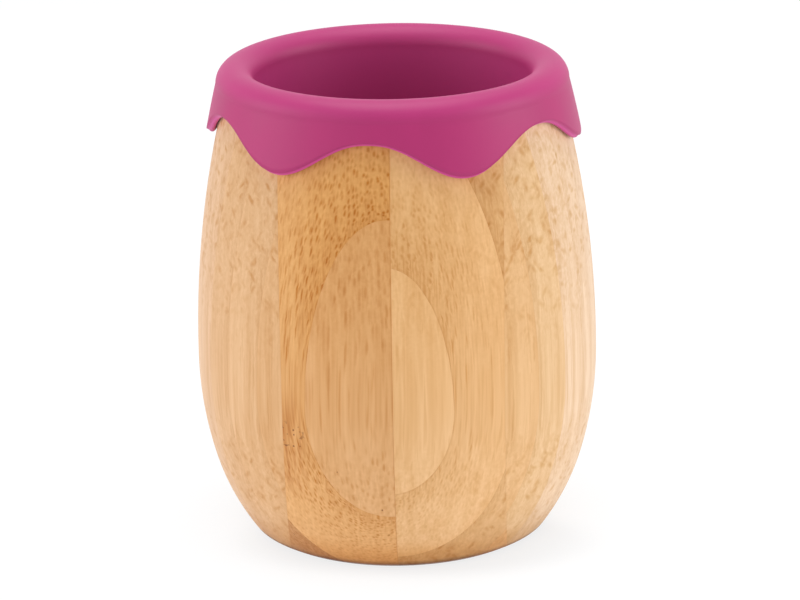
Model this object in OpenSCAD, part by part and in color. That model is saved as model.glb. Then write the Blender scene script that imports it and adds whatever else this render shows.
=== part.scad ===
// Bamboo cup with a silicone liner.
// Four boards stand side by side in a glued block, and each board is a stack of bamboo strips.
// The block is turned on the outside and bored from above, so every strip keeps its flat glue
// faces and takes its share of the round walls.
// The liner is one soft moulding: an inner cup, a rolled rim over the lip, and a wave-edged skirt.
// Z is up, the front is towards -Y, and the origin is the centre of the foot.

/* [Turned body] */
// Radius of the cup at its belly
belly_r = 37.5; // [35:0.5:40]
// Height of the belly above the foot
belly_z = 33.5; // [31:0.5:36]
// How much less the radius is at the lip than at the belly
lip_inset = 7.48; // [6:0.02:9]
// Radius of the curve just below the belly
lower_curve_r = 69.5; // [63:0.5:76]
// Radius of the heel that turns in to the foot
heel_curve_r = 44; // [38:1:50]
// Height of the bamboo lip above the foot
lip_z = 87; // [80:0.5:92]
// Width of the broken edges at the lip and the foot
edge_break = 0.8; // [0.3:0.1:1]

/* [Bore] */
// Thickness of the bamboo wall at the lip
lip_wall = 2.7; // [2.4:0.1:4]
// Thickness of the bamboo floor
floor_t = 8; // [5:0.5:12]
// Radius between the bore's floor and its wall
bore_corner_r = 5; // [3:0.5:8]

/* [Glued boards] */
// Distance of the middle seam from the cup's axis
middle_seam_x = 0.8; // [-2:0.1:2]
// Width of the inner left board
inner_left_w = 20.3; // [18:0.1:22]
// Width of the inner right board
inner_right_w = 19.9; // [18:0.1:22]

/* [Strips] */
// Number of strips in the outer left board
outer_left_strips = 11; // [9:1:13]
// Number of strips in the inner left board
inner_left_strips = 11; // [9:1:13]
// Number of strips in the inner right board
inner_right_strips = 14; // [12:1:16]
// Number of strips in the outer right board
outer_right_strips = 11; // [9:1:13]
// What turning leaves of the front strip in the outer left board
outer_left_front_t = 3.4; // [2:0.1:5]
// What turning leaves of the front strip in the inner left board
inner_left_front_t = 3.2; // [2:0.1:5]
// What turning leaves of the front strip in the inner right board
inner_right_front_t = 1.85; // [1.5:0.05:5]
// What turning leaves of the front strip in the outer right board
outer_right_front_t = 5.1; // [2:0.1:5.5]
// What turning leaves of the back strip in the outer left board
outer_left_back_t = 5.8; // [2:0.1:6]
// What turning leaves of the back strip in the inner left board
inner_left_back_t = 3.4; // [2:0.1:6]
// What turning leaves of the back strip in the inner right board
inner_right_back_t = 2.3; // [2:0.05:5]
// What turning leaves of the back strip in the outer right board
outer_right_back_t = 3.4; // [2:0.1:5.5]

/* [Liner] */
// Wall thickness of the liner's inner cup
liner_wall = 1.5; // [1.2:0.1:2]
// Thickness of the liner's floor
liner_floor_t = 2; // [1.5:0.1:3]
// How much narrower the inner cup is at its floor than at its mouth
liner_draft = 0.9; // [0.5:0.1:2]
// Radius between the floor and the wall inside the liner
liner_corner_r = 5; // [3:0.5:8]
// Height of the rolled rim above the lip
rim_rise = 2.2; // [1.8:0.1:3]
// Gap between the liner and the bamboo
liner_gap = 0.3; // [0.2:0.05:0.4]

/* [Drip skirt] */
// Thickness of the skirt
skirt_t = 1.2; // [1:0.1:2]
// How far the rolled rim stands out beyond the skirt
rim_roll_out = 1; // [0.5:0.05:1.2]
// Number of drips round the cup
drip_count = 6; // [4:1:9]
// How far the high edge between two drips lies below the lip
skirt_short = 5.3; // [4:0.1:8]
// How far each drip runs below that high edge
drip_run = 6.4; // [3:0.1:9]
// Turn of the nearest drip from the front, towards +X
drip_turn = 25; // [0:1:60]
// Pinch of the drips: above one they are narrower than the gaps between them
drip_pinch = 1.2; // [0.8:0.1:2]

/* [Hidden] */
$fn = 256;
// The heel curve takes over where the outline leans in by 7 parts out and 24 parts up, in 25
heel_lean_share = 0.28;
heel_rise_share = 0.96;
cut_over = edge_break;
heel_z = belly_z - heel_lean_share * lower_curve_r;
heel_centre = [
    belly_r - lower_curve_r + heel_rise_share * (lower_curve_r - heel_curve_r),
    belly_z - heel_lean_share * (lower_curve_r - heel_curve_r)
];
lower_centre = [belly_r - lower_curve_r, belly_z];
// The long upper curve stands upright at the belly and runs through the lip
lip_rise = lip_z - belly_z;
upper_curve_r = (lip_rise * lip_rise + lip_inset * lip_inset) / (2 * lip_inset);
upper_centre = [belly_r - upper_curve_r, belly_z];

// Radius of a curve at height z
function arc_r(centre, r, z) = centre[0] + sqrt(r * r - (z - centre[1]) * (z - centre[1]));

// Radius of the turned outside at height z
function outline_r(z) =
    z >= belly_z ? arc_r(upper_centre, upper_curve_r, z)
    : z >= heel_z ? arc_r(lower_centre, lower_curve_r, z)
    : arc_r(heel_centre, heel_curve_r, z);

foot_r = outline_r(0);
lip_r = belly_r - lip_inset;
bore_r = lip_r - lip_wall;

left_seam_x = middle_seam_x - inner_left_w;
right_seam_x = middle_seam_x + inner_right_w;
board_names = ["outer_left", "inner_left", "inner_right", "outer_right"];
board_colours = ["#e8c08c", "#d9a566", "#e4b87e", "#efcb9d"];
board_edges = [-belly_r - cut_over, left_seam_x, middle_seam_x, right_seam_x, belly_r + cut_over];
strip_counts = [outer_left_strips, inner_left_strips, inner_right_strips, outer_right_strips];
front_ts = [outer_left_front_t, inner_left_front_t, inner_right_front_t, outer_right_front_t];
back_ts = [outer_left_back_t, inner_left_back_t, inner_right_back_t, outer_right_back_t];

// Distance from the board's edge nearest the axis to the axis
function board_near_x(b) =
    board_edges[b] > 0 ? board_edges[b] : board_edges[b + 1] < 0 ? -board_edges[b + 1] : 0;
// How far the board reaches to the front and to the back after turning
function board_reach(b) = sqrt(belly_r * belly_r - board_near_x(b) * board_near_x(b));
// Thickness of the whole strips, between what is left of the front one and of the back one
function strip_t(b) = (2 * board_reach(b) - front_ts[b] - back_ts[b]) / (strip_counts[b] - 2);
// Y of the glue joint behind strip i
function joint_y(b, i) = front_ts[b] - board_reach(b) + i * strip_t(b);
function strip_name(b, i) = str(board_names[b], "_strip_", i < 9 ? "0" : "", i + 1);

// One stretch of the outline between two heights, as the part of a disc inside them
module outline_band(low, high, centre, r) {
    intersection() {
        translate(centre) circle(r = r);
        translate([0, low]) square([belly_r + cut_over, high - low]);
    }
}

// A triangle that breaks the edge between two points of a section, on the side of the corner
module edge_cut(a, b) {
    run = b - a;
    polygon([a - run, b + run, [(b + run)[0], (a - run)[1]]]);
}

module bore_section() {
    straight_r = bore_r - bore_corner_r;
    corner_z = floor_t + bore_corner_r;
    translate([0, floor_t]) square([straight_r, lip_z - floor_t + cut_over]);
    translate([0, corner_z]) square([bore_r, lip_z - corner_z + cut_over]);
    intersection() {
        translate([straight_r, corner_z]) circle(r = bore_corner_r);
        translate([straight_r, floor_t]) square(bore_corner_r);
    }
}

module body_section() {
    difference() {
        union() {
            outline_band(0, heel_z, heel_centre, heel_curve_r);
            outline_band(heel_z, belly_z, lower_centre, lower_curve_r);
            outline_band(belly_z, lip_z, upper_centre, upper_curve_r);
        }
        bore_section();
        edge_cut([foot_r - edge_break, 0], [outline_r(edge_break), edge_break]);
        edge_cut([lip_r - edge_break, lip_z], [outline_r(lip_z - edge_break), lip_z - edge_break]);
        edge_cut([bore_r + edge_break, lip_z], [bore_r, lip_z - edge_break]);
    }
}

// The turned and bored cup, cut to the box of strip i in board b
module strip(b, i) {
    front_y = i == 0 ? -belly_r - cut_over : joint_y(b, i - 1);
    back_y = i == strip_counts[b] - 1 ? belly_r + cut_over : joint_y(b, i);
    color(board_colours[b])
        intersection() {
            rotate_extrude() body_section();
            translate([board_edges[b], front_y, -cut_over])
                cube([
                    board_edges[b + 1] - board_edges[b],
                    back_y - front_y,
                    lip_z + 2 * cut_over
                ]);
        }
}

// The liner's sizes follow the bore and the lip
cup_outer_r = bore_r - liner_gap;
mouth_r = cup_outer_r - liner_wall;
cup_floor_z = floor_t + liner_gap;
inside_floor_z = cup_floor_z + liner_floor_t;
// The skirt's inner face keeps the gap all along the upper curve
skirt_inner_curve_r = upper_curve_r + liner_gap;
skirt_outer_curve_r = skirt_inner_curve_r + skirt_t;
rim_top_z = lip_z + rim_rise;
rim_steps = 20;
skirt_steps = 5;
corner_steps = 7;
// The roll is a half round from the mouth to the rim's outside
rim_outer_r = arc_r(upper_centre, skirt_outer_curve_r, lip_z) + rim_roll_out;
rim_r = (rim_outer_r - mouth_r) / 2;
rim_z = rim_top_z - rim_r;
skirt_high_z = lip_z - skirt_short;
skirt_low_z = skirt_high_z - drip_run;
// The skirt is turned a little too long, and the drips are cut out of it
blank_low_z = skirt_low_z - cut_over;

// Outside of the skirt: the offset curve, drawn out to the roll as it nears the rim
function skirt_r(z) =
    let (
        up_share = (z - blank_low_z) / (rim_z - blank_low_z),
        roll = rim_outer_r - arc_r(upper_centre, skirt_outer_curve_r, rim_z)
    )
    arc_r(upper_centre, skirt_outer_curve_r, z) + roll * up_share * up_share;

// Points of a quarter round from straight down to straight out, about a centre
function corner_points(centre, r) = [
    for (i = [0:corner_steps])
        let (a = 90 * i / corner_steps)
        centre + r * [sin(a), -cos(a)]
];

function turned_round(points) = [for (i = [len(points) - 1:-1:0]) points[i]];

// One closed outline: under the floor, up the outer wall, over the lip, down inside the skirt,
// up its outside, round the rolled rim, and down the inner wall to the floor
module liner_section() {
    outer_corner_r = liner_corner_r + liner_wall;
    outer_corner = [
        cup_outer_r - liner_draft - outer_corner_r,
        cup_floor_z + outer_corner_r
    ];
    inner_corner = [
        mouth_r - liner_draft - liner_corner_r,
        inside_floor_z + liner_corner_r
    ];
    skirt_inside = [
        for (i = [0:skirt_steps])
            let (z = lip_z + (blank_low_z - lip_z) * i / skirt_steps)
            [arc_r(upper_centre, skirt_inner_curve_r, z), z]
    ];
    skirt_outside = [
        for (i = [0:skirt_steps - 1])
            let (z = blank_low_z + (rim_z - blank_low_z) * i / skirt_steps)
            [skirt_r(z), z]
    ];
    rim = [
        for (i = [0:rim_steps])
            let (a = 180 * i / rim_steps)
            [mouth_r + rim_r * (1 + cos(a)), rim_z + rim_r * sin(a)]
    ];
    polygon(concat(
        [[0, cup_floor_z]],
        corner_points(outer_corner, outer_corner_r),
        [[cup_outer_r, lip_z]],
        skirt_inside,
        skirt_outside,
        rim,
        turned_round(corner_points(inner_corner, liner_corner_r)),
        [[0, inside_floor_z]]
    ));
}

// Height of the skirt's edge at angle a, measured from the front towards +X
function drip_z(a) =
    skirt_high_z
    - drip_run * pow((1 + cos(drip_count * (a - drip_turn))) / 2, drip_pinch);

// A ring under the skirt whose top follows the drips
module drip_cut() {
    steps = 16 * drip_count;
    in_r = (bore_r + lip_r) / 2;
    out_r = belly_r + cut_over;
    low_z = blank_low_z - cut_over;
    function ring_point(r, a, z) = [r * sin(a), -r * cos(a), z];
    corners = [
        for (i = [0:steps - 1])
            let (a = 360 * i / steps)
            each [
                ring_point(in_r, a, low_z),
                ring_point(out_r, a, low_z),
                ring_point(out_r, a, drip_z(a)),
                ring_point(in_r, a, drip_z(a))
            ]
    ];
    sides = [
        for (i = [0:steps - 1])
            for (k = [0:3])
                let (j = (i + 1) % steps, m = (k + 1) % 4)
                [4 * i + m, 4 * j + m, 4 * j + k, 4 * i + k]
    ];
    polyhedron(points = corners, faces = sides);
}

module silicone_liner() {
    color("#bc467d")
        difference() {
            rotate_extrude() liner_section();
            drip_cut();
        }
}

for (b = [0:len(board_names) - 1])
    for (i = [0:strip_counts[b] - 1])
        strip(b, i);
silicone_liner();
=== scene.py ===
"""Bamboo cup with a silicone liner: the looks of its strips and its liner, and a plain studio."""

import math
from functools import reduce

import bpy
import numpy as np
from bpy.props import FloatProperty, FloatVectorProperty, IntProperty, PointerProperty
from bpy.types import Operator, Panel, PropertyGroup
from mathutils import Matrix, Vector


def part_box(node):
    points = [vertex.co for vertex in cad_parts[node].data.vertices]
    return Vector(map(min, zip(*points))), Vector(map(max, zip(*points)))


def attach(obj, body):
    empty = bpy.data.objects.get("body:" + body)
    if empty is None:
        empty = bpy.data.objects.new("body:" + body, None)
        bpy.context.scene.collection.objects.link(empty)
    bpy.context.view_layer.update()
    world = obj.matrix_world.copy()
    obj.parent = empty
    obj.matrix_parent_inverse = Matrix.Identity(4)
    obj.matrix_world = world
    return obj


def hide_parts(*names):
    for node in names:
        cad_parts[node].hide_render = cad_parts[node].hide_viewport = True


bl_info = {
    "name": "Bamboo cup",
    "version": (1, 0, 0),
    "blender": (4, 5, 0),
    "location": "View3D > Sidebar > Bamboo cup",
    "description": "Dresses a laminated bamboo cup, moulds its silicone liner and lights them",
    "category": "Object",
}

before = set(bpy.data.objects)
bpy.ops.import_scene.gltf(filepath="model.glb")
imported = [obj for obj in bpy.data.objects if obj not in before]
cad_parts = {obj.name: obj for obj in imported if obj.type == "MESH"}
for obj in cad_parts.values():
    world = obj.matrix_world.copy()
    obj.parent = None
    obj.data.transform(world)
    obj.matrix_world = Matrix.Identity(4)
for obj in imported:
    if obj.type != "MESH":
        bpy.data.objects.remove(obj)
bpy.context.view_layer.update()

LINER = "silicone_liner"
MM = 0.001
# How strongly each board shows its bundles, its fringe, its dense side, its curls, the painted light
# from the white floor that lightens it towards the foot, the stain along its left side, its joints and its
# seams
MARKS = (
    "Bundles", "Fringe", "Dense side", "Curls", "Painted floor light", "Stain", "Joint line", "Left line",
    "Right line",
)
BOARDS = {
    "outer_left": (0.35, 0.35, 0.15, 0.47, 0, 0, 0.1, 0, 0.1),
    "inner_left": (1.25, 0.4, 0.5, 0.1, 0.18, 0.9, 0.15, 0.1, 0.5),
    "inner_right": (0.65, 0.45, 0.4, 0.2, 0.2, 0, 0.2, 0.1, 0.1),
    "outer_right": (0.35, 0.4, 0.15, 0.46, 0.1, 0, 0.2, 0.1, 0),
}
# Single strips whose colour differs from their board's
STRIPS = {
    "outer_left_strip_01": "DBA974",
    # The outer left strips 04 and 05 are paler partly in their own tone and partly as a painted reflection
    # of the white surroundings at the cup's left edge
    "outer_left_strip_04": "E0B386",
    "outer_left_strip_05": "E0B386",
    "inner_left_strip_01": "DBA061",
    "inner_left_strip_03": "C4843F",
    "inner_right_strip_03": "DBA76A",
    "outer_right_strip_01": "E1B077",
    "outer_right_strip_02": "E5BA86",
    # The outer right strips 03 to 05 are paler partly in their own tone and partly as painted light that
    # falls on the cup's right edge
    "outer_right_strip_03": "E8C49E",
    "outer_right_strip_04": "E8C49E",
    "outer_right_strip_05": "E8C49E",
}
# Strips whose marks are stronger or weaker than their board's
CHANGES = {
    "inner_right_strip_01": {"Bundles": 0.45},
    "inner_right_strip_03": {"Curls": 0.6, "Bundles": 0.4},
    "inner_right_strip_04": {"Curls": 0.6, "Bundles": 0.4},
    "inner_left_strip_03": {"Curls": 0.5},
}
# Each lamp's place and side in metres, and its power in watts
LAMPS = {
    "lamp_left": ((-0.85, -0.15, 0.3), 0.6, 2.7),
    "lamp_right": ((0.85, -0.15, 0.3), 0.6, 3.3),
    "lamp_top": ((0.0, 0.05, 0.9), 0.7, 4.8),
    "lamp_front": ((-0.6, -0.65, 0.35), 0.6, 0.6),
}


def paint(code):
    """A colour written as six hexadecimal digits, as the linear values that Blender uses."""
    parts = [int(code[i : i + 2], 16) / 255 for i in (0, 2, 4)]
    return tuple(p / 12.92 if p <= 0.04045 else ((p + 0.055) / 1.055) ** 2.4 for p in parts)


def length(name, description, default):
    """A size in metres that the user may change."""
    return FloatProperty(name=name, description=description, default=default, unit="LENGTH", precision=5)


def angle(name, description, degrees):
    """An angle that the user may change."""
    default = math.radians(degrees)
    return FloatProperty(name=name, description=description, default=default, subtype="ANGLE")


def share(name, description, default):
    """A plain number between 0 and 1 that the user may change."""
    return FloatProperty(name=name, description=description, default=default, min=0, max=1, subtype="FACTOR")


def colour(name, description, code):
    """A colour that the user may change."""
    return FloatVectorProperty(
        name=name, description=description, default=paint(code), size=3, min=0, max=1, subtype="COLOR"
    )


class BambooLooks(PropertyGroup):
    """Colours and grain of the bamboo strips."""

    outer_left: colour("Outer left board", "Plain colour of the outer left board", "DCAD7B")
    inner_left: colour("Inner left board", "Plain colour of the inner left board", "E2A45C")
    inner_right: colour("Inner right board", "Plain colour of the inner right board", "EAB578")
    outer_right: colour("Outer right board", "Plain colour of the outer right board", "E7BD8E")
    bundle: colour("Fibre bundle", "Colour that a fibre bundle is stained with", "D4AA08")
    pore: colour("Pore", "Colour of the few open pores", "6E3208")
    glue: colour("Glue line", "Colour of the thin line at a glue joint", "B46A18")
    bundle_step: length("Bundle step", "Mean distance of the round bundles along a strip's width", 0.0009)
    fringe_step: length("Fringe step", "Mean distance of the long bundles at a strip's dense face", 0.00055)
    fringe_depth: length("Fringe depth", "How deep the long bundles lie behind the dense face", 0.0017)
    glue_width: length("Glue width", "Thickness of a glue line on each side of its joint", 0.00004)
    figure_outer: length("Outer figure", "How far the curly grain of the outer boards swings", 0.0014)
    figure_inner: length("Inner figure", "How far the grain of the inner boards swings", 0.0003)


class LinerShape(PropertyGroup):
    """Sizes and colour of the silicone liner."""

    belly_radius: length("Belly radius", "Radius of the bamboo at its belly", 0.0375)
    belly_height: length("Belly height", "Height of the belly", 0.0335)
    lip_inset: length("Lip inset", "How much less the bamboo's radius is at the lip", 0.00748)
    lip_height: length("Lip height", "Height of the bamboo lip, which the liner sits on", 0.087)
    lip_wall: length("Lip wall", "Thickness of the bamboo at the lip", 0.0027)
    gap: length("Gap", "Gap between the liner and the bamboo", 0.0003)
    wall: length("Wall", "Wall thickness of the inner cup", 0.0015)
    floor_height: length("Floor height", "Height of the underside of the liner's floor", 0.0083)
    floor: length("Floor", "Thickness of the liner's floor", 0.002)
    draft: length("Draft", "How much narrower the inner cup is at its floor", 0.0009)
    corner: length("Corner", "Radius between the floor and the wall inside", 0.005)
    rim_rise: length("Rim rise", "Height of the rolled rim above the lip", 0.0022)
    rim_roll: length("Rim roll", "How far the roll stands out beyond the skirt", 0.001)
    skirt: length("Skirt", "Thickness of the skirt", 0.0012)
    skirt_short: length("Short skirt", "Depth of the high edge between two drips below the lip", 0.0053)
    drip_run: length("Drip run", "How far each drip runs below that high edge", 0.0064)
    drip_turn: angle("Drip turn", "Turn of the nearest drip from the front", 25)
    drip_pinch: FloatProperty(name="Drip pinch", description="Above one, drips are narrower", default=1.2)
    drips: IntProperty(name="Drips", description="Number of drips round the cup", default=6)
    tint: colour("Silicone", "Colour of the silicone", "B12A6A")
    inner_tint: colour("Silicone inside", "Brighter colour where light comes through", "BE3D7D")
    # Painted light: the thin drip edge made brighter for the floor's light shining through it, and a little
    # of it on the rim as a painted highlight
    edge_light: colour("Silicone edge", "Colour of the thin drip edge, a little of it on the rim", "C9458F")


class Studio(PropertyGroup):
    """Camera, lamps and floor."""

    azimuth: angle("Azimuth", "Turn of the camera about the cup, from the front", 2.75)
    elevation: angle("Elevation", "Height of the camera above the horizon", 18.134)
    roll: angle("Roll", "Tilt of the camera about its line of sight", -1.08)
    aim_height: length("Aim height", "Height of the point on the axis that the camera is set on", 0.042)
    distance: length("Distance", "Distance of the camera from that point", 0.62)
    aim_right: angle("Aim right", "How far the camera looks to the right of the axis", 0.0595)
    aim_up: angle("Aim up", "How far the camera looks above that point", 0.068)
    lens: FloatProperty(
        name="Lens", description="Focal length for a 36 mm wide sensor", default=148.2, unit="CAMERA"
    )
    lamp_aim: length("Lamp aim", "Height of the point on the axis that the lamps face", 0.045)
    ambient: share("Ambient", "Strength of the even light from all around", 0.41)
    paper: colour("Paper", "The floor's own colour", "E4E8EE")
    blank: share("Blank", "Share of plain white in what the camera sees of the floor", 0.8)
    glow: share("Glow", "Light that the floor gives off, as a lit table does", 0.3)


# Node helpers


class Sheet:
    """Adds nodes to one node tree and links them, laid out from left to right."""

    def __init__(self, tree):
        self.tree = tree
        self.count = 0

    def node(self, kind, inputs=(), **settings):
        """A node of a kind, with settings, whose sockets take a value or another node's socket."""
        n = self.tree.nodes.new(kind)
        n.location = (180 * (self.count // 4), -260 * (self.count % 4))
        self.count += 1
        for key, value in settings.items():
            setattr(n, key, value)
        for key, value in dict(inputs).items():
            if isinstance(value, bpy.types.NodeSocket):
                self.tree.links.new(value, n.inputs[key])
            else:
                n.inputs[key].default_value = value
        return n

    def number(self, operation, *values, clamp=False):
        """A Math node's result."""
        inputs = dict(enumerate(values))
        return self.node("ShaderNodeMath", inputs, operation=operation, use_clamp=clamp).outputs[0]

    def total(self, *values):
        """All the values added up."""
        return reduce(lambda a, b: self.number("ADD", a, b), values)

    def product(self, *values):
        """All the values multiplied."""
        return reduce(lambda a, b: self.number("MULTIPLY", a, b), values)

    def largest(self, *values):
        """The largest of the values."""
        return reduce(lambda a, b: self.number("MAXIMUM", a, b), values)

    def vector(self, operation, *values, out=0):
        """A Vector Math node's result."""
        inputs = dict(enumerate(values))
        return self.node("ShaderNodeVectorMath", inputs, operation=operation).outputs[out]

    def scaled(self, vector, factor):
        """A vector or colour times a number."""
        inputs = {0: vector, "Scale": factor}
        return self.node("ShaderNodeVectorMath", inputs, operation="SCALE").outputs[0]

    def parts(self, vector):
        """A vector's X, Y and Z."""
        return self.node("ShaderNodeSeparateXYZ", {0: vector}).outputs

    def joined(self, **axes):
        """A vector from its X, Y and Z."""
        return self.node("ShaderNodeCombineXYZ", axes).outputs[0]

    def chance(self, cells):
        """The random numbers of a Voronoi node's cell, as a colour's three parts."""
        return self.node("ShaderNodeSeparateColor", {0: cells.outputs["Color"]}).outputs

    def ramp(self, value, low, high, to_low=0.0, to_high=1.0):
        """A value carried smoothly from one range to another and held at its ends."""
        return self.node(
            "ShaderNodeMapRange",
            {"Value": value, "From Min": low, "From Max": high, "To Min": to_low, "To Max": to_high},
            interpolation_type="SMOOTHSTEP",
        ).outputs["Result"]

    def noise(self, vector, scale=1.0, detail=1.0, out="Fac"):
        """Soft three-dimensional noise."""
        inputs = {"Vector": vector, "Scale": scale, "Detail": detail}
        return self.node("ShaderNodeTexNoise", inputs).outputs[out]

    def voronoi(self, vector, randomness, dimensions="2D"):
        """Cells about one unit apart, the same all along the strip if they are flat."""
        inputs = {"Vector": vector, "Scale": 1.0, "Randomness": randomness}
        return self.node("ShaderNodeTexVoronoi", inputs, voronoi_dimensions=dimensions)

    def mix(self, factor, first, second, blend="MIX"):
        """Two colours mixed."""
        n = self.node("ShaderNodeMix", {"Factor": factor}, data_type="RGBA", blend_type=blend)
        for socket, value in ((n.inputs[6], first), (n.inputs[7], second)):
            if isinstance(value, bpy.types.NodeSocket):
                self.tree.links.new(value, socket)
            else:
                socket.default_value = (*value[:3], 1)
        return n.outputs[2]


# Bamboo


# How far a streak changes red, green and blue
STREAK = (0.036, 0.06, 0.105)
# Colour that the wood turns to towards the foot: painted light from the white floor below
FLOOR_LIT_WOOD = (0.92, 0.68, 0.42)
# What the plain colour is multiplied by: at a strip's dense side, in the stain, in the faded stretch
# above it, as painted shade low on the cup, and as painted shade at the edge of the foot
DENSE_WOOD = (0.84, 0.74, 0.58)
STAINED_WOOD = (0.76, 0.6, 0.41)
FADED_WOOD = (1.0, 1.03, 1.15)
LOW_SHADE = (0.93, 0.78, 0.53)
FOOT_SHADE = (0.42, 0.3, 0.22)


class StripSheet(Sheet):
    """The node tree of one strip's grain, with the places and values that its parts share."""

    def __init__(self, tree, looks):
        super().__init__(tree)
        self.looks = looks
        self.given = self.node("NodeGroupInput").outputs
        self.place = self.scaled(self.node("ShaderNodeTexCoord").outputs["Object"], 1 / MM)
        self.xyz = self.parts(self.place)
        self.shift = self.joined(X=self.given["Seed"], Z=self.given["Seed"])
        self.seeded = self.vector("ADD", self.place, self.shift)
        self.patchy = self.noise(self.seeded, scale=0.45)

        # On the slopes above and below the belly the cut runs across the grain
        self.facing = self.parts(self.node("ShaderNodeNewGeometry").outputs["Normal"])["Z"]
        below = self.ramp(self.facing, -0.21, -0.05, 1, 0)
        self.sloping = self.largest(self.ramp(self.facing, -0.01, 0.14), below)

        # The grain wanders a little along its length, and swings where the board is figured
        wander = self.vector("MULTIPLY", self.sway((0.07, 0.07, 0.02), 1), (2.4, 1.0, 0))
        figure = self.product(self.given["Figure"], self.number("MULTIPLY_ADD", self.sloping, 0.85, 0.15))
        swing = self.scaled(self.sway((0.5, 0.5, 0.6), 2), figure)
        self.moved = self.vector("ADD", self.vector("ADD", self.place, wander), swing)
        self.grain = self.parts(self.moved)
        self.behind = self.number("SUBTRACT", self.grain["Y"], self.given["Dense face"])
        self.depth = self.number("DIVIDE", self.behind, self.given["Thickness"], clamp=True)

        # Streaks of three widths, drawn out along the strip
        along = self.vector("MULTIPLY", self.vector("ADD", self.moved, self.shift), (1.0, 1.0, 0.03))
        self.broad = self.noise(along, scale=0.5)
        self.middling = self.noise(along, scale=1.3)
        self.fine = self.noise(along, scale=2.4)

    def sway(self, stretch, detail):
        """Soft noise in three directions, between -0.5 and 0.5."""
        stretched = self.vector("MULTIPLY", self.seeded, stretch)
        return self.vector("SUBTRACT", self.noise(stretched, detail=detail, out="Color"), (0.5, 0.5, 0.5))


def bundle_marks(s):
    """The round bundles, a painted highlight on one side of each, and the few open pores.

    They lie in cells one bundle step wide. A cell's place in the strip's depth goes with the distance
    behind the dense face to the power of 0.75, so the cells crowd at that face.
    """
    across = s.number("DIVIDE", s.grain["X"], s.looks.bundle_step / MM)
    crowded = s.product(s.number("POWER", s.depth, 0.75), s.product(s.given["Thickness"], 3.2))
    cell = s.joined(X=across, Y=s.total(crowded, s.given["Seed"]))
    cells = s.voronoi(cell, 0.92)
    away, chance = cells.outputs["Distance"], s.chance(cells)
    strength = s.ramp(chance[0], s.product(s.depth, 0.3), 1.0, 0.45, 1.0)
    bundles = s.product(s.ramp(away, 0.04, 0.54, 1, 0), strength)
    bundles = s.product(bundles, s.ramp(s.depth, 0.1, 0.7, 0.75, 0.36), s.given["Bundles"])

    # Painted highlight: a pale stroke beside each bundle, where its relief would catch the light
    beside = s.voronoi(s.vector("ADD", cell, (-0.36, -0.2, 0.0)), 0.92).outputs["Distance"]
    caps = s.product(s.ramp(beside, 0.08, 0.5, 1, 0), s.given["Bundles"])
    caps = s.product(caps, s.ramp(s.depth, 0.25, 0.75, 1.0, 0.5))

    pores = s.product(s.ramp(away, 0.08, 0.2, 1, 0), s.ramp(chance[1], 0.93, 0.95))
    pores = s.product(pores, s.ramp(s.patchy, 0.6, 0.65), s.ramp(s.facing, -0.2, -0.1, 1, 0))
    return bundles, caps, s.product(pores, s.ramp(s.given["Bundles"], 0.8, 1.2))


def fringe_marks(s):
    """The long bundles right behind the dense face, a little aslant."""
    leaning = s.total(s.grain["X"], s.product(s.behind, 0.35))
    aslant = s.number("DIVIDE", leaning, s.looks.fringe_step / MM)
    inwards = s.total(s.product(s.behind, 0.8), s.given["Seed"])
    away = s.voronoi(s.joined(X=aslant, Y=inwards), 0.8).outputs["Distance"]
    reach = s.looks.fringe_depth / MM
    near = s.ramp(s.behind, 0.35 * reach, reach, 0.7, 0)
    return s.product(s.ramp(away, 0.12, 0.42, 1, 0), near, s.given["Fringe"])


def curl_marks(s):
    """Short strokes that slant both ways on the slopes of a figured board, and its pale patches."""
    drift = s.product(s.xyz["Z"], 0.55)
    strokes = 0.0
    for way in ("ADD", "SUBTRACT"):
        slanted = s.joined(X=s.number(way, s.grain["X"], drift), Y=s.grain["Y"], Z=drift)
        slanted = s.vector("ADD", s.vector("MULTIPLY", slanted, (0.85, 0.42, 0.66)), s.shift)
        cells = s.voronoi(slanted, 0.9, dimensions="3D")
        stroke = s.ramp(cells.outputs["Distance"], 0.04, 0.7, 1, 0)
        strokes = s.largest(strokes, s.product(stroke, s.ramp(s.chance(cells)[0], 0, 0.8)))
    strokes = s.product(strokes, s.ramp(s.patchy, 0.4, 0.6, 0.45, 1.2))
    figured = s.product(s.given["Curls"], s.sloping)
    return s.product(strokes, figured), s.product(s.ramp(s.patchy, 0.42, 0.6, 0.6, 0), figured)


def wood_tone(s, pale):
    """How much lighter the wood is than its plain colour, or darker where it is negative."""
    tone = s.total(s.ramp(s.broad, 0.35, 0.65, -0.8, 0.8), s.ramp(s.middling, 0.35, 0.65, -0.6, 0.6))
    tone = s.total(tone, s.ramp(s.fine, 0.3, 0.7, -0.25, 0.25), s.ramp(s.middling, 0.57, 0.7, 0, -1.8))
    streaky = s.product(s.given["Curls"], s.number("SUBTRACT", 1.0, s.sloping))
    tone = s.product(tone, s.number("MULTIPLY_ADD", streaky, 1.4, 1.0))
    speckle = s.ramp(s.noise(s.place, scale=1.5), 0.3, 0.7, -0.6, 0.6)
    return s.total(tone, s.number("MULTIPLY_ADD", pale, 1.4, s.product(speckle, s.sloping)))


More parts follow.
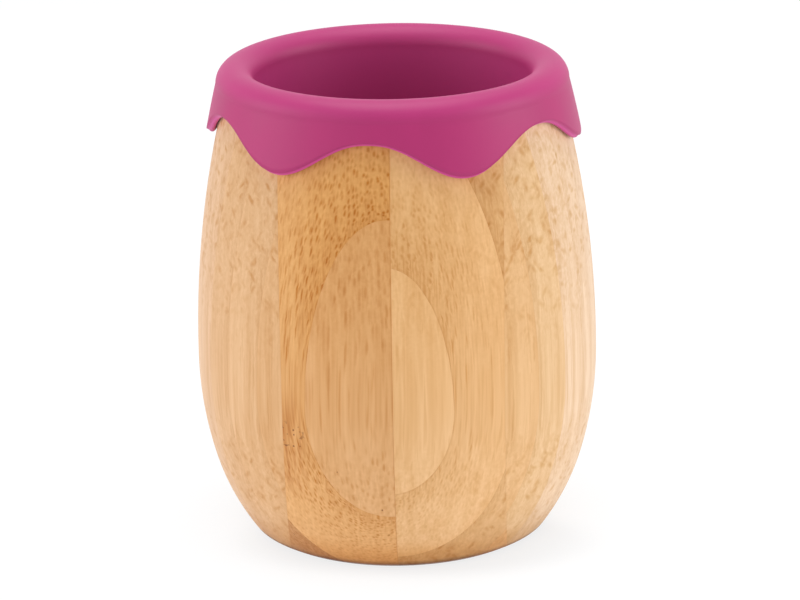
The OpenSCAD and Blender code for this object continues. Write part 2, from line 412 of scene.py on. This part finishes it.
def plain_wood(s, pale):
    """The board's colour, lighter towards the foot with painted light from the white floor, a little darker
    high up with painted shade under the liner, with its streaks and its deeper dense side.
    """
    # Painted light: the wood is lightened towards the foot, as if lit by the white floor
    floor_light = s.product(s.ramp(s.xyz["Z"], 8, 62, 1, 0), s.given["Painted floor light"])
    wood = s.mix(floor_light, s.given["Plain"], FLOOR_LIT_WOOD)
    # Painted shade: a little darker high up, in the shade under the liner's rim and skirt
    wood = s.scaled(wood, s.ramp(s.xyz["Z"], 35, 75, 1.0, 0.955))
    wood = s.vector("MULTIPLY", wood, s.vector("MULTIPLY_ADD", wood_tone(s, pale), STREAK, (1, 1, 1)))
    reach = s.looks.fringe_depth / MM
    dense = s.total(s.ramp(s.behind, 0.0, reach, 0.5, 0), s.ramp(s.depth, 0.0, 0.7, 0.5, 0))
    return s.mix(s.product(dense, s.given["Dense side"]), wood, DENSE_WOOD, blend="MULTIPLY")


def stained(s, wood):
    """The wood with its left side faded, or stained low down, and the specks in the stain."""
    aside = s.number("SUBTRACT", s.xyz["X"], s.given["Left side"])
    faded = s.product(s.ramp(aside, 1, 8, 1, 0), s.ramp(s.xyz["Z"], 30, 39), s.given["Stain"])
    wood = s.mix(faded, wood, FADED_WOOD, blend="MULTIPLY")
    stain = s.product(s.ramp(aside, 1.5, 5.5, 1, 0), s.ramp(s.xyz["Z"], 30, 39, 1, 0))
    stain = s.product(stain, s.ramp(s.xyz["Z"], 13, 21), s.given["Stain"])
    uneven = s.product(stain, s.ramp(s.middling, 0.35, 0.6, 1, 0.35))
    wood = s.mix(uneven, wood, STAINED_WOOD, blend="MULTIPLY")
    band = s.product(s.ramp(s.xyz["Z"], 24.5, 26), s.ramp(s.xyz["Z"], 29, 31, 1, 0))
    specks = s.ramp(s.noise(s.seeded, scale=1.5, detail=0), 0.7, 0.78)
    return wood, s.product(specks, stain, band)


def glue_lines(s):
    """Thin lines where the strip meets the one in front of it and the boards on both sides."""
    width = s.looks.glue_width / MM
    off_joint = s.number("ABSOLUTE", s.number("SUBTRACT", s.xyz["Y"], s.given["Dense face"]))
    off_left = s.number("SUBTRACT", s.xyz["X"], s.given["Left side"])
    off_right = s.number("SUBTRACT", s.given["Right side"], s.xyz["X"])
    return s.largest(
        s.product(s.ramp(off_joint, width, 2 * width, 1, 0), s.given["Joint line"]),
        s.product(s.ramp(off_left, width, 6 * width, 1, 0), s.given["Left line"]),
        s.product(s.ramp(off_right, width, 6 * width, 1, 0), s.given["Right line"]),
    )


def bamboo_group(looks):
    """The grain of one strip, solid through the wood.

    Fibre bundles run up the strip. They crowd behind its dense face and thin out behind, and
    right behind that face lies a fringe of long, narrow ones. The turned surface cuts them: along
    the belly into long streaks, and on the sloping parts into dashes.
    """
    tree = bpy.data.node_groups.new("Bamboo strip", "ShaderNodeTree")
    face = tree.interface
    numbers = {"Dense face": 0, "Thickness": 6, "Left side": -10, "Right side": 10, "Seed": 0, "Figure": 0}
    numbers.update(dict.fromkeys(MARKS, 1))
    for name, default in numbers.items():
        face.new_socket(name, in_out="INPUT", socket_type="NodeSocketFloat").default_value = default
    face.new_socket("Plain", in_out="INPUT", socket_type="NodeSocketColor").default_value = (1, 1, 1, 1)
    for name, kind in (("Colour", "Color"), ("Roughness", "Float"), ("Normal", "Vector")):
        face.new_socket(name, in_out="OUTPUT", socket_type="NodeSocket" + kind)

    s = StripSheet(tree, looks)
    bundles, caps, pores = bundle_marks(s)
    curls, pale = curl_marks(s)
    marks = s.largest(bundles, fringe_marks(s), curls)
    broken = s.noise(s.vector("MULTIPLY", s.seeded, (1.1, 1.1, 0.1)))
    marks = s.product(marks, s.largest(s.ramp(broken, 0.4, 0.62, 1.1, 0.2), s.sloping))
    marks = s.product(marks, s.ramp(s.facing, -0.45, -0.1, 0.7, 1.0))

    # The painted highlights beside the bundles and the pale patches lighten the wood
    wood, specks = stained(s, plain_wood(s, s.largest(caps, pale)))
    wood = s.mix(marks, wood, looks.bundle, blend="MULTIPLY")
    wood = s.mix(s.largest(pores, specks), wood, looks.pore)
    # Painted shade: darker low on the cup, near the floor
    wood = s.mix(s.ramp(s.xyz["Z"], 1.5, 8.0, 0.9, 0), wood, LOW_SHADE, blend="MULTIPLY")
    # Painted shade: darkest at the edge of the foot, where it meets the floor
    wood = s.mix(s.ramp(s.xyz["Z"], 0.6, 1.9, 0.95, 0), wood, FOOT_SHADE, blend="MULTIPLY")
    line = glue_lines(s)
    wood = s.mix(s.product(line, s.ramp(s.broad, 0.3, 0.7, 0.5, 1)), wood, looks.glue)

    relief = s.number("SUBTRACT", s.product(s.fine, 0.4), s.total(marks, line))
    bump = s.node("ShaderNodeBump", {"Strength": 0.15, "Distance": 0.02 * MM, "Height": relief}).outputs[0]
    rough = s.ramp(s.total(marks, s.product(s.fine, 0.4)), 0, 1, 0.48, 0.66)
    s.node("NodeGroupOutput", {"Colour": wood, "Roughness": rough, "Normal": bump})
    return tree


def strip_material(name, group, values):
    """One strip's own bamboo: the shared grain with this strip's place, seed and colour."""
    material = bpy.data.materials.new("Bamboo " + name.replace("_", " "))
    material.use_nodes = True
    material.node_tree.nodes.clear()
    s = Sheet(material.node_tree)
    grain = s.node("ShaderNodeGroup", node_tree=group)
    for key, value in values.items():
        grain.inputs[key].default_value = value
    out = grain.outputs
    skin = s.node(
        "ShaderNodeBsdfPrincipled",
        {
            "Base Color": out["Colour"],
            "Roughness": out["Roughness"],
            "Normal": out["Normal"],
            "Specular IOR Level": 0.35,
            "Sheen Weight": 0.12,
            "Sheen Roughness": 0.4,
        },
    )
    s.node("ShaderNodeOutputMaterial", {"Surface": skin.outputs[0]})
    return material


class BAMBOOCUP_OT_dress_strips(Operator):
    """Give every bamboo strip the grain that its place in the glued block calls for"""

    bl_idname = "bamboo_cup.dress_strips"
    bl_label = "Dress the bamboo strips"

    def execute(self, context):
        looks = context.scene.bamboo_looks
        group = bamboo_group(looks)
        random = np.random.default_rng(7)
        for board, marks in BOARDS.items():
            names = sorted(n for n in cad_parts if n.startswith(board))
            boxes = np.array([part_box(n) for n in names]) / MM
            thickness = float(np.median(boxes[1:-1, 1, 1] - boxes[1:-1, 0, 1]))
            plain = np.array(getattr(looks, board))
            figure = (looks.figure_outer if "outer" in board else looks.figure_inner) / MM
            for i, name in enumerate(names):
                last = i == len(names) - 1
                dense_face = boxes[i, 0, 1] if last else boxes[i, 1, 1] - thickness
                own = np.array(paint(STRIPS[name])) if name in STRIPS else plain
                tone = 1 + 0.015 * random.uniform(-1, 1)
                values = {
                    "Dense face": float(dense_face),
                    "Thickness": thickness,
                    "Left side": float(boxes[:, 0, 0].min()),
                    "Right side": float(boxes[:, 1, 0].max()),
                    "Seed": float(random.uniform(0, 400)),
                    "Figure": figure,
                    "Plain": (*np.clip(own * tone, 0, 1), 1),
                    **dict(zip(MARKS, marks)),
                    **CHANGES.get(name, {}),
                }
                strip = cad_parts[name]
                material = strip_material(name, group, values)
                for slot in strip.material_slots:
                    slot.material = material
        return {"FINISHED"}


# Liner


def liner_surface(shape, around=432):
    """Radius and height of the liner's skin, as one row of section points for each angle.

    The section is a closed path from the axis under the floor to the axis inside the cup. Every
    stretch of it is the same all round but the skirt, whose lower edge follows the drips: high
    edge less the run times ((1 + cos of drips times the turn) / 2) to the power of the pinch.
    """
    turn = np.linspace(0, 2 * np.pi, around, endpoint=False)[:, None]
    rise = shape.lip_height - shape.belly_height
    upper_curve = (rise**2 + shape.lip_inset**2) / (2 * shape.lip_inset)
    centre = shape.belly_radius - upper_curve

    def step(n, ends=False):
        """Even steps from 0 to 1 along a stretch of the section."""
        return np.linspace(0, 1, n, endpoint=ends)[None, :]

    def spread(row):
        """A stretch that is the same at every angle, repeated for each."""
        return np.broadcast_to(row, (around, row.shape[1]))

    def skirt_radius(z, off):
        """Radius of the bamboo's upper curve at height z, moved outwards."""
        return centre + np.sqrt((upper_curve + off) ** 2 - (z - shape.belly_height) ** 2)

    lip = shape.lip_height
    lip_radius = skirt_radius(lip, 0)
    bore = lip_radius - shape.lip_wall
    cup = bore - shape.gap
    mouth = cup - shape.wall
    outside = shape.gap + shape.skirt
    hair = 0.001 * MM
    rim_outer = skirt_radius(lip, outside) + shape.rim_roll
    rim = (rim_outer - mouth) / 2
    rim_height = lip + shape.rim_rise - rim
    edge = shape.skirt / 2
    wave = (1 + np.cos(shape.drips * (turn - shape.drip_turn))) / 2
    low = lip - shape.skirt_short - shape.drip_run * wave**shape.drip_pinch
    pivot = low + edge

    def corner(floor_radius, floor, radius, n):
        """Quarter round from the floor to the wall."""
        a = step(n, True) * np.pi / 2
        return floor_radius - radius + radius * np.sin(a), floor + radius - radius * np.cos(a)

    def line(r0, z0, r1, z1, n):
        """Straight stretch from one radius and height to another."""
        t = step(n)
        return r0 + (r1 - r0) * t, z0 + (z1 - z0) * t

    deep = shape.corner + shape.wall
    inside_floor = shape.floor_height + shape.floor
    under = corner(cup - shape.draft, shape.floor_height, deep, 9)
    inner = corner(mouth - shape.draft, inside_floor, shape.corner, 13)
    seat = float(skirt_radius(lip, shape.gap))
    down = lip + (pivot - lip) * step(8)
    half = np.pi * (1 + step(9))
    up = pivot + (rim_height - pivot) * step(12)
    share_up = ((up - shape.belly_height) / (rim_height - shape.belly_height)).clip(0, 1)
    lean = rim_outer - skirt_radius(rim_height, outside)
    roll = np.pi * step(30)
    parts = [
        line(0, shape.floor_height, under[0][0, 0], shape.floor_height, 6),
        under,
        line(cup, lip - hair, seat, lip, 4),
        (skirt_radius(down, shape.gap), down),
        (skirt_radius(pivot, shape.gap + edge) + edge * np.cos(half), pivot + edge * np.sin(half)),
        (skirt_radius(up, outside) + lean * share_up**2.2, up),
        (mouth + rim * (1 + np.cos(roll)), rim_height + rim * np.sin(roll)),
        line(mouth, rim_height, inner[0][0, -1], inner[1][0, -1], 12),
        (inner[0][:, ::-1], inner[1][:, ::-1]),
        line(inner[0][0, 0], inside_floor, 0, inside_floor, 8),
    ]
    radius = np.concatenate([spread(r) for r, z in parts], axis=1)
    height = np.concatenate([spread(z) for r, z in parts], axis=1)
    pole = np.zeros((around, 1))
    return turn, np.hstack([radius, pole]), np.hstack([height, pole + inside_floor])


def turned_mesh(name, turn, radius, height):
    """A closed skin from rows of section points, one row for each angle, with a pole at each end.

    A point's x is its radius times the sine of the turn, and its y the radius times minus the cosine.
    """
    around, steps = radius.shape
    x, y = radius * np.sin(turn), -radius * np.cos(turn)
    ring = np.stack([x, y, height], axis=2)[:, 1:-1].reshape(-1, 3)
    poles = np.array([[0, 0, height[0, 0]], [0, 0, height[0, -1]]])
    rings = steps - 2
    a, k = np.meshgrid(np.arange(around), np.arange(rings - 1), indexing="ij")
    b = (a + 1) % around
    near, far = a * rings + k, b * rings + k
    quads = np.stack([near, far, far + 1, near + 1], axis=2).reshape(-1, 4)
    a = np.arange(around)
    b = (a + 1) % around
    first, last = len(ring), len(ring) + 1
    caps = np.concatenate([
        np.stack([np.full(around, first), b * rings, a * rings], axis=1),
        np.stack([np.full(around, last), a * rings + rings - 1, b * rings + rings - 1], axis=1),
    ])
    mesh = bpy.data.meshes.new(name)
    mesh.from_pydata(np.concatenate([ring, poles]), [], [*quads.tolist(), *caps.tolist()])
    mesh.polygons.foreach_set("use_smooth", np.ones(len(mesh.polygons), dtype=bool))
    mesh.update()
    mesh.validate()
    piece = bpy.data.objects.new(name, mesh)
    bpy.context.scene.collection.objects.link(piece)
    return piece


def silicone_material(shape):
    """Satin silicone, faintly mottled, with painted light: brighter along the thin drip edge, which the
    floor's light shines through, a little up on the rim as a painted highlight, and inside, where light
    comes through.
    """
    material = bpy.data.materials.new("Satin silicone")
    material.use_nodes = True
    material.node_tree.nodes.clear()
    s = Sheet(material.node_tree)
    place = s.scaled(s.node("ShaderNodeTexCoord").outputs["Object"], 1 / MM)
    xyz = s.parts(place)
    flat = s.vector("MULTIPLY", place, (1.0, 1.0, 0.0))
    off_axis = s.vector("LENGTH", flat, out="Value")
    middle_of_wall = (shape.belly_radius - shape.lip_inset - shape.lip_wall / 2) / MM
    lip = shape.lip_height / MM

    # The height of the drip edge at this turn about the axis, by the same formula as the mesh
    turn = s.number("ARCTAN2", xyz["X"], s.product(xyz["Y"], -1.0))
    wave = s.number("COSINE", s.product(s.number("SUBTRACT", turn, shape.drip_turn), float(shape.drips)))
    wave = s.number("POWER", s.product(s.total(wave, 1.0), 0.5), shape.drip_pinch)
    high_edge = (shape.lip_height - shape.skirt_short) / MM
    edge = s.number("SUBTRACT", high_edge, s.product(wave, shape.drip_run / MM))
    above = s.number("SUBTRACT", xyz["Z"], edge)
    outside = s.number("GREATER_THAN", off_axis, middle_of_wall)
    # Painted light: brighter at the thin drip edge, which the floor's light shines through, and a little up
    # on the rim as a painted highlight
    thin = s.product(s.ramp(above, 0.2, 0.65, 1, 0), outside)
    thin = s.largest(thin, s.ramp(xyz["Z"], lip - 1.5, lip + 1.2, 0, 0.22))

    # The inside is where the surface is near the bore and faces the axis
    normal = s.node("ShaderNodeNewGeometry").outputs["Normal"]
    inwards = s.number("LESS_THAN", s.vector("DOT_PRODUCT", flat, normal, out="Value"), 0.5)
    inside = s.product(s.ramp(off_axis, middle_of_wall - 2.6, middle_of_wall - 0.9, 1, 0), inwards)
    inside = s.product(inside, s.ramp(xyz["Z"], lip - 3, lip + 1, 1, 0))

    mottle = s.ramp(s.noise(place, scale=0.12, detail=3), 0.3, 0.7)
    body = s.mix(mottle, tuple(c * 0.95 for c in shape.tint), shape.tint)
    body = s.mix(inside, body, shape.inner_tint)
    skin = s.noise(place, scale=9, detail=3)
    bump = s.node("ShaderNodeBump", {"Strength": 0.12, "Distance": 0.01 * MM, "Height": skin}).outputs[0]
    shader = s.node(
        "ShaderNodeBsdfPrincipled",
        {
            "Base Color": s.mix(thin, body, shape.edge_light),
            "Roughness": s.number("MULTIPLY_ADD", mottle, 0.04, 0.46),
            "Normal": bump,
            "Specular IOR Level": 0.36,
        },
    )
    s.node("ShaderNodeOutputMaterial", {"Surface": shader.outputs[0]})
    return material


class BAMBOOCUP_OT_mould_liner(Operator):
    """Mould the silicone liner: inner cup, rolled rim and drip-edged skirt in one skin"""

    bl_idname = "bamboo_cup.mould_liner"
    bl_label = "Mould the silicone liner"

    def execute(self, context):
        shape = context.scene.bamboo_liner
        piece = turned_mesh("liner_skin", *liner_surface(shape))
        piece.data.materials.append(silicone_material(shape))
        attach(piece, "liner")
        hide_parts(LINER)
        return {"FINISHED"}


# Studio


def set_camera(studio):
    """The camera stands at a turn and a height about the axis, rolled about its line of sight."""
    a, e = studio.azimuth, studio.elevation
    back = Vector((math.sin(a) * math.cos(e), -math.cos(a) * math.cos(e), math.sin(e)))
    right = Vector((math.cos(a), math.sin(a), 0))
    up = back.cross(right)
    c, s = math.cos(studio.roll), math.sin(studio.roll)
    side, head = c * right + s * up, c * up - s * right
    sight = -back + side * math.tan(studio.aim_right) + head * math.tan(studio.aim_up)
    sight.normalize()
    side = (side - sight * side.dot(sight)).normalized()
    head = side.cross(sight)
    data = bpy.data.cameras.new("camera")
    data.lens = studio.lens
    data.sensor_width = 36
    data.clip_start = 0.01
    camera = bpy.data.objects.new("camera", data)
    bpy.context.scene.collection.objects.link(camera)
    place = Vector((0, 0, studio.aim_height)) + studio.distance * back
    camera.matrix_world = Matrix.Translation(place) @ Matrix((side, head, -sight)).transposed().to_4x4()
    bpy.context.scene.camera = camera


def add_lamp(name, place, target, size, power):
    """A square soft lamp that faces a target."""
    data = bpy.data.lights.new(name, "AREA")
    data.shape = "SQUARE"
    data.size = size
    data.energy = power
    lamp = bpy.data.objects.new(name, data)
    lamp.location = place
    lamp.rotation_euler = (Vector(target) - Vector(place)).to_track_quat("-Z", "Y").to_euler()
    bpy.context.scene.collection.objects.link(lamp)


def seen_directly(s):
    """One where the camera, a mirror or a glass looks straight at the backdrop, else zero."""
    path = s.node("ShaderNodeLightPath").outputs
    return s.largest(path["Is Camera Ray"], path["Is Glossy Ray"], path["Is Transmission Ray"])


def set_world(ambient):
    """White where it is seen, and an even soft light for everything else."""
    world = bpy.data.worlds.new("studio")
    world.use_nodes = True
    world.node_tree.nodes.clear()
    s = Sheet(world.node_tree)
    strength = s.number("MULTIPLY_ADD", seen_directly(s), 1 - ambient, ambient)
    light = s.node("ShaderNodeBackground", {"Color": (1, 1, 1, 1), "Strength": strength})
    s.node("ShaderNodeOutputWorld", {"Surface": light.outputs[0]})
    bpy.context.scene.world = world


def set_floor(studio):
    """A pale, faintly lit floor that holds the cup's shadow, and reads as white paper elsewhere."""
    reach = 3.0
    below = 0.02 * MM
    mesh = bpy.data.meshes.new("floor")
    corners = [(-reach, -reach), (reach, -reach), (reach, reach), (-reach, reach)]
    mesh.from_pydata([(x, y, -below) for x, y in corners], [], [(0, 1, 2, 3)])
    floor = bpy.data.objects.new("floor", mesh)
    bpy.context.scene.collection.objects.link(floor)
    material = bpy.data.materials.new("Floor paper")
    material.use_nodes = True
    material.node_tree.nodes.clear()
    s = Sheet(material.node_tree)
    matt = s.node("ShaderNodeBsdfDiffuse", {"Color": (*studio.paper, 1)})

    # The floor gives off no light in an oval round the foot, where the shadow falls
    middle = (4 * MM, -15 * MM, 0)
    squeeze = (1.05, 2.0, 1.0)
    dark_radius, lit_radius = 26 * MM, 40 * MM
    place = s.vector("SUBTRACT", s.node("ShaderNodeTexCoord").outputs["Object"], middle)
    away = s.vector("LENGTH", s.vector("MULTIPLY", place, squeeze), out="Value")
    strength = s.product(s.ramp(away, dark_radius, lit_radius), studio.glow)
    glow = s.node("ShaderNodeEmission", {"Color": (1, 1, 1, 1), "Strength": strength})
    lit = s.node("ShaderNodeAddShader", {0: matt.outputs[0], 1: glow.outputs[0]})
    white = s.node("ShaderNodeEmission", {"Color": (1, 1, 1, 1), "Strength": 1.0})
    blank = s.product(seen_directly(s), studio.blank)
    both = s.node("ShaderNodeMixShader", {0: blank, 1: lit.outputs[0], 2: white.outputs[0]})
    s.node("ShaderNodeOutputMaterial", {"Surface": both.outputs[0]})
    mesh.materials.append(material)


class BAMBOOCUP_OT_set_stage(Operator):
    """Set the camera, the soft lamps, the white surroundings and the floor"""

    bl_idname = "bamboo_cup.set_stage"
    bl_label = "Set the stage"

    def execute(self, context):
        studio = context.scene.bamboo_studio
        set_camera(studio)
        set_world(studio.ambient)
        set_floor(studio)
        for name, (place, size, power) in LAMPS.items():
            add_lamp(name, place, (0, 0, studio.lamp_aim), size, power)
        context.scene.view_settings.view_transform = "Standard"
        return {"FINISHED"}


class BAMBOOCUP_PT_panel(Panel):
    """Lists the steps that dress the cup"""

    bl_label = "Bamboo cup"
    bl_idname = "BAMBOOCUP_PT_panel"
    bl_space_type = "VIEW_3D"
    bl_region_type = "UI"
    bl_category = "Bamboo cup"

    def draw(self, context):
        for step in STEPS:
            self.layout.operator(step.bl_idname)
        for group in GROUPS:
            settings = getattr(context.scene, group)
            self.layout.label(text=settings.bl_rna.name)
            for name in type(settings).__annotations__:
                self.layout.prop(settings, name)


STEPS = (BAMBOOCUP_OT_dress_strips, BAMBOOCUP_OT_mould_liner, BAMBOOCUP_OT_set_stage)
GROUPS = {"bamboo_looks": BambooLooks, "bamboo_liner": LinerShape, "bamboo_studio": Studio}


def register():
    for item in (*GROUPS.values(), *STEPS, BAMBOOCUP_PT_panel):
        bpy.utils.register_class(item)
    for name, group in GROUPS.items():
        setattr(bpy.types.Scene, name, PointerProperty(type=group))


def unregister():
    for name in GROUPS:
        delattr(bpy.types.Scene, name)
    for item in reversed((*GROUPS.values(), *STEPS, BAMBOOCUP_PT_panel)):
        bpy.utils.unregister_class(item)


def main():
    register()
    bpy.ops.bamboo_cup.dress_strips()
    bpy.ops.bamboo_cup.mould_liner()
    bpy.ops.bamboo_cup.set_stage()


if __name__ == "__main__":
    main()
